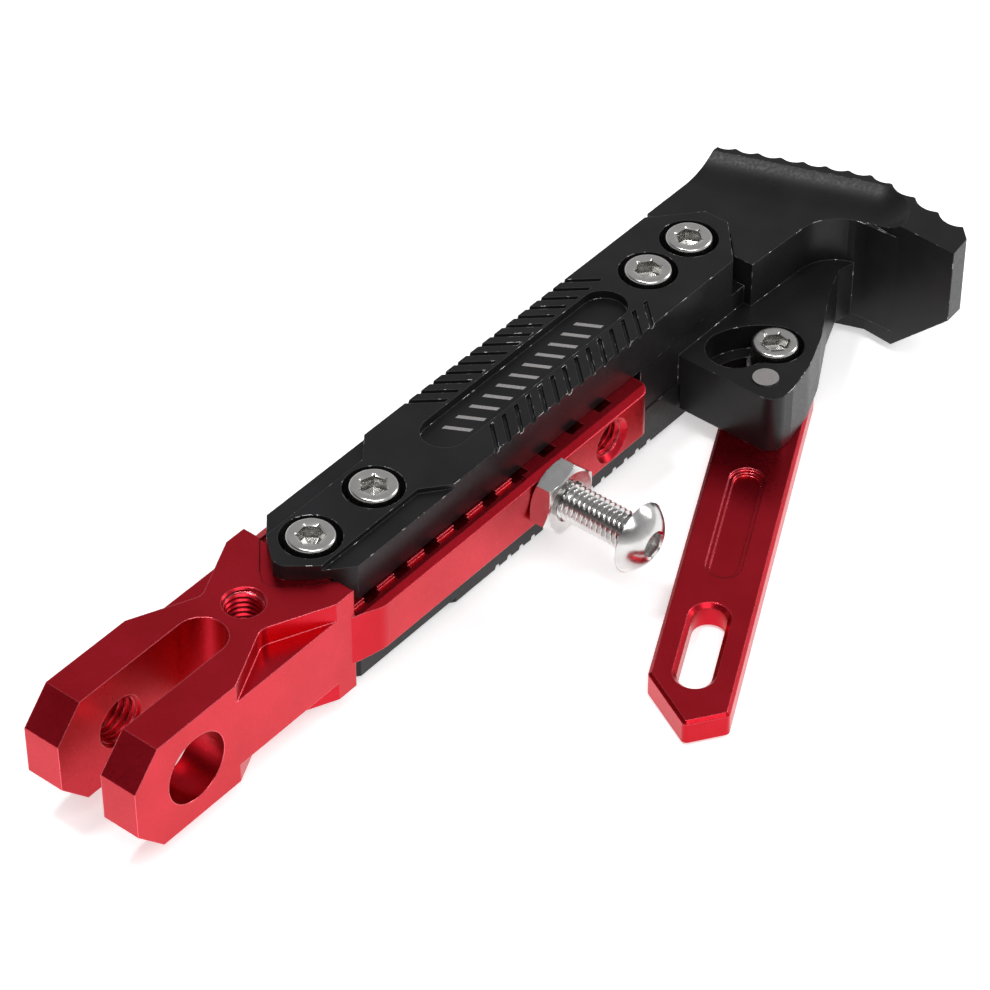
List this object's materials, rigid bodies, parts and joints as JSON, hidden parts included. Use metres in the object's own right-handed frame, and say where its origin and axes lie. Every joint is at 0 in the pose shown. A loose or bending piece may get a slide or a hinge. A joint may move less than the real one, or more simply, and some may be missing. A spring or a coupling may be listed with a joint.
{
  "type": "kickstand",
  "caption": "Adjustable side stand: forked rack bar sliding between two cover plates on a scalloped foot, with a swinging kick arm and a stop screw.",
  "frame": {"origin": "centre of the fork: on the pivot bore's axis, midway between the ears and between top and bottom", "axes": "+X from the pivot along the bar to the foot, +Y from the plain ear to the tapped ear along the pivot, +Z square to the cover plates"},
  "size_m": [0.2273, 0.0911, 0.0352],
  "materials": {
    "red_anodised": "satin red anodised, machined",
    "black_anodised": "satin black anodised, machined",
    "stainless_steel": "polished"
  },
  "bodies": {
    "rack_bar": {"clevis_rack_bar": "red_anodised"},
    "leg": {"upper_cover": "black_anodised", "lower_cover": "black_anodised", "foot": "black_anodised", "arm_pivot_pin": "stainless_steel", "cover_screw_1": "stainless_steel", "cover_washer_1": "stainless_steel", "cover_nut_1": "stainless_steel", "cover_screw_2": "stainless_steel", "cover_washer_2": "stainless_steel", "cover_nut_2": "stainless_steel", "cover_screw_3": "stainless_steel", "cover_washer_3": "stainless_steel", "cover_nut_3": "stainless_steel", "cover_screw_4": "stainless_steel", "cover_washer_4": "stainless_steel", "cover_nut_4": "stainless_steel"},
    "arm": {"kick_arm": "red_anodised", "arm_lock_screw": "stainless_steel", "arm_lock_washer": "stainless_steel"},
    "lock_nut": {"stop_lock_nut": "stainless_steel"},
    "stop": {"stop_screw": "stainless_steel"}
  },
  "joints": [
    {"name": "length_slide", "type": "slide", "parent": "rack_bar", "child": "leg", "axis": [1, 0, 0], "range_m": [0, 0.045]},
    {"name": "arm_swing", "type": "hinge", "parent": "leg", "child": "arm", "pos_m": [0.1564, -0.0298, -0.0157], "axis": [0, 0, 1], "range_deg": [0, 45]},
    {"name": "stop_turn", "type": "hinge", "parent": "rack_bar", "child": "lock_nut", "pos_m": [0.1023, -0.0187, 0], "axis": [0, 1, 0], "range_deg": [-1080, 1008]},
    {"name": "stop_advance", "type": "slide", "parent": "lock_nut", "child": "stop", "axis": [0, 1, 0], "range_m": [-0.00375, 0.0035]}
  ],
  "couplings": [
    {"joint": "stop_advance", "follows": "stop_turn", "m_per_rad": 0.00019894}
  ]
}
